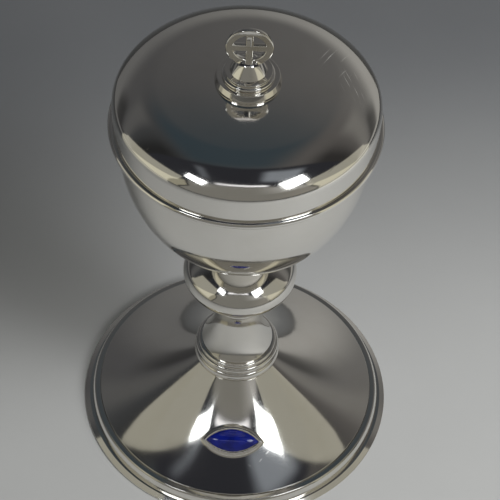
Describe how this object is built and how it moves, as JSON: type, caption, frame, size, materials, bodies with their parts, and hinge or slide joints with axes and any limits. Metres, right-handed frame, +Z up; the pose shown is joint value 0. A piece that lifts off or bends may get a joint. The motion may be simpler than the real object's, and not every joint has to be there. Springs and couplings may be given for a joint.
{
  "type": "ciborium",
  "caption": "Covered silver ciborium: deep cup on a knopped stem and trumpet foot, with a domed lift-off cover, a cross in a ring as its finial and a navette blue stone on the foot.",
  "frame": {"origin": "middle of the flat face that the foot stands on", "axes": "+Z up along the stem, -Y towards the side with the stone and the face of the cross, +X to the right of someone who looks along +Y"},
  "size_m": [0.1524, 0.1524, 0.2543],
  "materials": {
    "silver": "polished",
    "brass": "machined",
    "lapis": "polished"
  },
  "bodies": {
    "vessel": {"foot_cone": "silver", "foot_rim_moulding": "silver", "plinth_ring": "silver", "stone_setting": "silver", "stone": "lapis", "collar_lower_ring": "silver", "collar_upper_ring": "silver", "stem_foot_bead": "silver", "stem": "silver", "stem_head_collar": "silver", "knop_lower_half": "silver", "knop_upper_half": "silver", "neck_bead": "silver", "neck_spool": "silver", "cup_socket": "silver", "cup": "silver", "cup_rim_wire": "silver", "tie_rod": "brass", "spreader_plate": "brass", "tie_rod_washer": "brass", "tie_rod_nut": "brass"},
    "cover": {"cover_dome": "silver", "cover_sleeve": "silver", "finial_base": "silver", "finial_step": "silver", "finial_bell": "silver", "finial_cross": "silver", "finial_stud": "brass", "finial_washer": "brass", "finial_nut": "brass"}
  },
  "joints": [
    {"name": "cover_lift", "type": "slide", "parent": "vessel", "child": "cover", "axis": [0, 0, 1], "range_m": [0, 0.12]}
  ]
}
